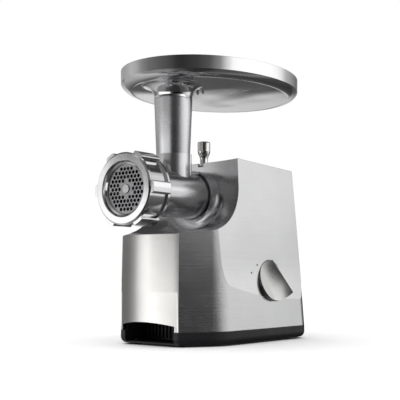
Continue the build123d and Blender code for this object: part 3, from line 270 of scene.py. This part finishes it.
def machined(name, colour, rough, axis, origin, pitch):
    """Turned or ground steel: visible tool marks round an axis and a few darker stains."""
    material, t = new_material(name)
    rings = t.rings(axis, origin, pitch)
    stain = t.noise(t.place(), 120.0, 5.0, 0.65)
    tint = t.blend(t.span(stain, 0.0, 1.0), shade(colour, 0.78), shade(colour, 1.08))
    sheen = t.maths("ADD", t.span(stain, rough[0], rough[1]), t.maths("MULTIPLY", rings, 0.06))
    t.surface(tint, sheen, t.bump(rings, 0.00002), 1.0)
    return material


def laminated(name, colour):
    """Stacked sheet steel: thin dark joints between the sheets."""
    material, t = new_material(name)
    bands = t.add("ShaderNodeTexWave", wave_type="BANDS", bands_direction="Y")
    t.feed(bands, "Vector", t.place())
    bands.inputs["Scale"].default_value = 320.0
    bands.inputs["Distortion"].default_value = 0.2
    edge = t.span(bands.outputs["Fac"], 0.0, 1.0, 0.1, 0.6)
    rust = t.noise(t.place(), 90.0, 5.0)
    tint = t.blend(edge, shade(colour, 0.45), shade(colour, 1.1))
    tint = t.blend(t.span(rust, 0.0, 0.3, 0.55, 0.7), tint, RUST)
    t.surface(tint, t.span(rust, 0.38, 0.55), t.bump(edge, 0.0002), 0.85)
    return material


def wound(name, colour):
    """Enamelled copper wire, wound: fine crossing strands under clear varnish, with painted shade
    between them.
    """
    material, t = new_material(name)
    bands = t.add("ShaderNodeTexWave", wave_type="BANDS", bands_direction="DIAGONAL")
    t.feed(bands, "Vector", t.place((1.0, 0.35, 1.0)))
    bands.inputs["Scale"].default_value = 420.0
    bands.inputs["Distortion"].default_value = 1.5
    strands_and_shade = bands.outputs["Fac"]
    age = t.noise(t.place(), 70.0, 3.0)
    # painted shade and painted highlight: the tint is darkest in the grooves between the strands
    # and lightest along their tops
    tint = t.blend(strands_and_shade, shade(colour, 0.45), shade(colour, 1.15))
    tint = t.blend(t.span(age, 0.0, 0.35), tint, BURNT_VARNISH)
    t.surface(tint, t.span(age, 0.25, 0.4), t.bump(strands_and_shade, 0.0003), 0.9, Coat_Weight=0.4)
    return material


def printed_board(name):
    """Green circuit board: copper tracks under solder resist."""
    material, t = new_material(name)
    brick = t.add("ShaderNodeTexBrick")
    t.feed(brick, "Vector", t.place())
    brick.inputs["Scale"].default_value = 160.0
    brick.inputs["Mortar Size"].default_value = 0.08
    brick.inputs["Color1"].default_value = RESIST
    brick.inputs["Color2"].default_value = THIN_RESIST
    brick.inputs["Mortar"].default_value = TRACK
    cloud = t.noise(t.place(), 60.0, 3.0)
    tint = t.blend(t.span(cloud, 0.0, 0.4), brick.outputs["Color"], DARK_RESIST)
    t.surface(tint, t.span(cloud, 0.22, 0.38), t.bump(brick.outputs["Fac"], 0.0001), 0.0)
    return material


# brushing, as noise cells per metre along x, y and z, and along the dial's own turned axes
SHEET_STREAKS = (8, 8, 2600)
DIAL_STREAKS = (1500, 12, 1500)

looks = {
    "housing_metal": brushed("housing_metal", (0.74, 0.74, 0.745), (0.20, 0.29), 0.00002,
                             SHEET_STREAKS, marks=INDEX_DOTS, edges=HOUSING_EDGE),
    "panel_metal": brushed("panel_metal", (0.74, 0.73, 0.71), (0.17, 0.25), 0.00002,
                           SHEET_STREAKS),
    "base_plastic": moulded("base_plastic", (0.010, 0.010, 0.012), (0.40, 0.55), 0.00006),
    "foot_rubber": moulded("foot_rubber", (0.016, 0.016, 0.016), (0.7, 0.85), 0.0001, 900.0),
    "cast_aluminium": polished("cast_aluminium", (0.80, 0.80, 0.815), (0.20, 0.27), "Y",
                               BARREL_AXIS, 300.0, 0.000004, 0.004),
    "polished_nut": polished("polished_nut", (0.85, 0.85, 0.86), (0.08, 0.14), "Y",
                             BARREL_AXIS, 420.0, 0.000003),
    "polished_tray": polished("polished_tray", (0.86, 0.86, 0.87), (0.03, 0.07), "Z",
                              TRAY_CENTRE, 160.0, 0.0000012),
    "cutting_steel": machined("cutting_steel", (0.42, 0.42, 0.43), (0.26, 0.38), "Y",
                              BARREL_AXIS, 380.0),
    "scroll_aluminium": cast("scroll_aluminium", (0.68, 0.68, 0.69), (0.28, 0.42), 0.00004),
    "knob_chrome": polished("knob_chrome", (0.80, 0.785, 0.76), (0.05, 0.10), "Z",
                            KNOB_CENTRE, 500.0, 0.000002),
    "dial_metal": brushed("dial_metal", (0.66, 0.66, 0.65), (0.16, 0.26), 0.00002,
                          DIAL_STREAKS, (DIAL_TURN, DIAL_TILT, 0), DIAL_CENTRE),
    "machine_steel": machined("machine_steel", (0.50, 0.50, 0.52), (0.25, 0.40), "Y",
                              MOTOR_AXIS, 300.0),
    "gear_nylon": moulded("gear_nylon", (0.70, 0.67, 0.58), (0.35, 0.5), 0.00003,
                          Subsurface_Weight=0.1),
    "bronze": machined("bronze", (0.60, 0.42, 0.20), (0.30, 0.45), "Y", BARREL_AXIS, 350.0),
    "copper": wound("copper", (0.72, 0.36, 0.20)),
    "lamination_steel": laminated("lamination_steel", (0.28, 0.28, 0.30)),
    "gearbox_casting": cast("gearbox_casting", (0.52, 0.52, 0.53), (0.35, 0.50), 0.00008),
    "inner_plastic": moulded("inner_plastic", (0.028, 0.028, 0.032), (0.35, 0.5), 0.00004),
    "carbon": moulded("carbon", (0.016, 0.016, 0.017), (0.5, 0.7), 0.00004),
    "board_green": printed_board("board_green"),
    "capacitor_case": moulded("capacitor_case", (0.62, 0.46, 0.08), (0.25, 0.4), 0.00003),
}

for entry in frame["record"]["subparts"]:
    node = nodes[entry["node"]]
    node.data.materials.clear()
    node.data.materials.append(looks[entry["material_slot"]])


# ---------------------------------------------------------------- floor and light
def floor_material():
    """Matt paper, very slightly uneven."""
    material, t = new_material("floor")
    grain = t.noise(t.place(), 60.0, 3.0)
    tint = t.blend(t.span(grain, 0.0, 1.0), FLOOR_DARK, FLOOR_LIGHT)
    t.surface(tint, t.span(grain, 0.7, 0.8), t.bump(grain, 0.00001), 0.0)
    return material


bpy.ops.mesh.primitive_circle_add(vertices=FLOOR_SIDES, radius=FLOOR_RADIUS, fill_type="NGON",
                                  location=(0, 0, 0))
floor = bpy.context.object
floor.name = "floor"
floor.data.materials.append(floor_material())
floor.visible_glossy = False

# Brightness of the studio round the machine. Each row is an azimuth from -Y towards +X, in
# degrees, then the light from the ground, from eye level, from the wall above it and from the top.
STUDIO = [
    (-180, 0.04, 0.07, 0.26, 0.10), (-165, 0.05, 0.12, 0.15, 0.08), (-150, 0.08, 0.55, 0.36, 0.08),
    (-135, 0.10, 0.75, 0.40, 0.06), (-105, 0.40, 0.20, 0.36, 0.05), (-90, 0.45, 0.18, 0.42, 0.06),
    (-75, 0.55, 0.20, 0.52, 0.08), (-60, 0.25, 0.42, 0.44, 0.25), (-45, 0.25, 1.30, 0.26, 0.50),
    (-30, 0.25, 1.70, 0.16, 0.55), (-15, 0.20, 1.60, 0.12, 0.40), (0, 0.08, 1.40, 0.09, 0.25),
    (17, 0.06, 1.25, 0.035, 0.15), (26, 0.04, 0.08, 0.03, 0.15), (45, 0.03, 0.005, 0.05, 0.20),
    (62, 0.03, 0.005, 0.10, 0.15), (75, 0.03, 0.01, 0.28, 0.08), (90, 0.08, 0.03, 1.10, 0.05),
    (105, 0.08, 0.42, 1.35, 0.05), (120, 0.12, 0.70, 1.30, 0.08), (135, 0.20, 0.85, 1.20, 0.50),
    (150, 0.06, 0.80, 1.00, 0.80), (161, 0.06, 0.10, 0.50, 0.30), (180, 0.04, 0.07, 0.26, 0.10),
]
# Sine of the elevation over which one level passes into the next.
LEVEL_STEPS = [(-0.226, -0.192), (0.098, 0.122), (0.28, 0.34)]
# How much lower the eye-level wall ends at each azimuth, as a sine of elevation.
CUT_DOWN = [(-33, 0.00), (-22, 0.03), (20, 0.03), (40, 0.0), (95, 0.0)]
WORLD_STRENGTH = 1.3


def ramp(t, share, stops):
    """Greys round the whole circle, through (azimuth, level) stops, at a share of the circle."""
    node = t.add("ShaderNodeValToRGB")
    t.feed(node, 0, share)
    elements = node.color_ramp.elements
    while len(elements) < len(stops):
        elements.new(0.5)
    for element, (azimuth, level) in zip(elements, stops):
        element.position = azimuth / 360 + 0.5
        element.color = (level, level, level, 1.0)
    return node.outputs[0]


def studio_world():
    """Light and reflections from the studio table, behind the plain white that the camera sees."""
    world = bpy.data.worlds.new("studio")
    t = Tree(world)
    way = t.add("ShaderNodeSeparateXYZ")
    t.feed(way, 0, t.add("ShaderNodeTexCoord").outputs["Generated"])
    back = t.maths("MULTIPLY", way.outputs["Y"], -1.0)
    turn = t.maths("ARCTAN2", way.outputs["X"], back)
    share = t.maths("MULTIPLY_ADD", turn, 1.0 / (2 * pi), 0.5)
    levels = [ramp(t, share, [(row[0], row[level] / WORLD_STRENGTH) for row in STUDIO])
              for level in (1, 2, 3, 4)]
    height = way.outputs["Z"]
    cut = ramp(t, share, CUT_DOWN)
    heights = (height, t.maths("ADD", height, cut), height)
    colour = levels[0]
    for level, z, (start, end) in zip(levels[1:], heights, LEVEL_STEPS):
        colour = t.blend(t.span(z, 0.0, 1.0, start, end), colour, level)
    light = t.add("ShaderNodeBackground")
    t.feed(light, "Color", colour)
    light.inputs["Strength"].default_value = WORLD_STRENGTH
    white = t.add("ShaderNodeBackground")
    white.inputs["Color"].default_value = (1, 1, 1, 1)
    white.inputs["Strength"].default_value = 1.0
    mix = t.add("ShaderNodeMixShader")
    t.feed(mix, 0, t.add("ShaderNodeLightPath").outputs["Is Camera Ray"])
    t.feed(mix, 1, light.outputs[0])
    t.feed(mix, 2, white.outputs[0])
    out = t.add("ShaderNodeOutputWorld")
    t.feed(out, "Surface", mix.outputs[0])
    return world


scene.world = studio_world()


# The key light, which the metal doesn't mirror.
key_data = bpy.data.lights.new("key", "SUN")
key_data.energy = KEY_STRENGTH
key_data.angle = KEY_SPREAD
key = bpy.data.objects.new("key", key_data)
key.rotation_euler = KEY_TURN
key.visible_glossy = False
scene.collection.objects.link(key)
